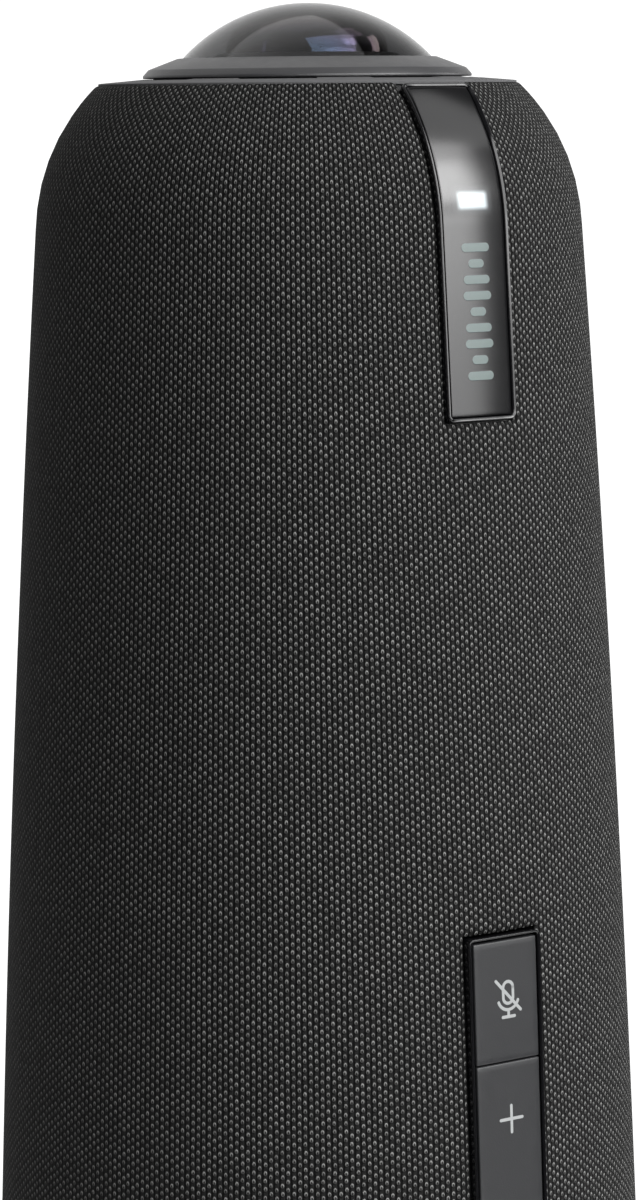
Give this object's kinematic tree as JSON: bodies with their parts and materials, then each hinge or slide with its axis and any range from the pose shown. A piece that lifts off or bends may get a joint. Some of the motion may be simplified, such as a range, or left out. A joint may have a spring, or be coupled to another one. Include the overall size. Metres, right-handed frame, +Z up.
{
  "type": "conference speakerphone",
  "caption": "Tapered fabric-covered tabletop speakerphone tower with an all-round camera under a clear dome, a badge strip with a status light, and a strip of push buttons.",
  "frame": {"origin": "centre of the foot's underside, on the surface the speakerphone stands on", "axes": "+Z up the tower; -Y out of the front, which carries the badge and button strips; +Y towards the rear ports"},
  "size_m": [0.1104, 0.1104, 0.2731],
  "materials": {
    "fabric": "light grey knitted loops on black",
    "gloss_black": "piano black",
    "satin_grey": "satin moulded",
    "button_grey": "satin, fine grain",
    "plate_grey": "fine moulded grain",
    "black_plastic": "matt moulded",
    "clear": "clear, faintly smoked",
    "status_light": "white light pipe",
    "brass": "turned",
    "steel": "bright plated",
    "aluminium": "extruded, clear anodised",
    "rubber": "matt",
    "circuit_board": "green solder mask",
    "amber_flex": "polyimide film",
    "speaker_paper": "pressed paper"
  },
  "bodies": {
    "housing": {"badge_bezel": "gloss_black", "badge_window": "gloss_black", "base_plate": "satin_grey", "base_screw_1": "steel", "base_screw_2": "steel", "base_screw_3": "steel", "camera_board": "circuit_board", "camera_bracket": "black_plastic", "camera_flex": "amber_flex", "clear_dome": "clear", "control_bezel": "gloss_black", "control_board": "circuit_board", "fabric_sleeve": "fabric", "foot_ring": "rubber", "front_lens": "clear", "front_shell": "black_plastic", "heat_sink": "aluminium", "image_sensor": "black_plastic", "led_board": "circuit_board", "lens_baffle": "black_plastic", "lens_barrel": "black_plastic", "lens_collar": "satin_grey", "lock_slot_plate": "steel", "main_board": "circuit_board", "mic_gasket": "rubber", "mic_ring_board": "circuit_board", "mute_switch": "steel", "pairing_switch": "steel", "port_board": "circuit_board", "power_socket": "black_plastic", "processor_shield": "steel", "rear_lens": "clear", "rear_port_panel": "black_plastic", "rear_shell": "black_plastic", "speaker_1_basket": "black_plastic", "speaker_1_magnet": "steel", "speaker_1_surround": "rubber", "speaker_2_basket": "black_plastic", "speaker_2_magnet": "steel", "speaker_2_surround": "rubber", "speaker_3_basket": "black_plastic", "speaker_3_magnet": "steel", "speaker_3_surround": "rubber", "speaker_chassis": "black_plastic", "status_light_pipe": "status_light", "top_plate": "plate_grey", "tripod_insert": "brass", "usb_c_socket": "steel", "volume_down_switch": "steel", "volume_up_switch": "steel", "wifi_antenna_left": "amber_flex", "wifi_antenna_right": "amber_flex"},
    "mute_key": {"mute_button": "button_grey"},
    "pairing_key": {"pairing_button": "button_grey"},
    "volume_key": {"volume_rocker": "button_grey"},
    "speaker_1_diaphragm": {"speaker_1_cone": "speaker_paper"},
    "speaker_2_diaphragm": {"speaker_2_cone": "speaker_paper"},
    "speaker_3_diaphragm": {"speaker_3_cone": "speaker_paper"}
  },
  "joints": [
    {"name": "mute_press", "type": "slide", "parent": "housing", "child": "mute_key", "axis": [0, 0.9992, -0.0407], "range_m": [0, 0.0005], "stiffness_N_per_m": 1500},
    {"name": "pairing_press", "type": "slide", "parent": "housing", "child": "pairing_key", "axis": [0, 0.9992, -0.0407], "range_m": [0, 0.0005], "stiffness_N_per_m": 1500},
    {"name": "volume_rock", "type": "hinge", "parent": "housing", "child": "volume_key", "pos_m": [0, -0.052, 0.08923], "axis": [1, 0, 0], "range_deg": [-1.2, 1.2], "stiffness_Nm_per_rad": 0.25},
    {"name": "speaker_1_stroke", "type": "slide", "parent": "housing", "child": "speaker_1_diaphragm", "axis": [0.866, -0.5, 0], "range_m": [-0.002, 0.002], "stiffness_N_per_m": 1200, "deforming": ["speaker_1_surround"]},
    {"name": "speaker_2_stroke", "type": "slide", "parent": "housing", "child": "speaker_2_diaphragm", "axis": [0, 1, 0], "range_m": [-0.002, 0.002], "stiffness_N_per_m": 1200, "deforming": ["speaker_2_surround"]},
    {"name": "speaker_3_stroke", "type": "slide", "parent": "housing", "child": "speaker_3_diaphragm", "axis": [-0.866, -0.5, 0], "range_m": [-0.002, 0.002], "stiffness_N_per_m": 1200, "deforming": ["speaker_3_surround"]}
  ]
}
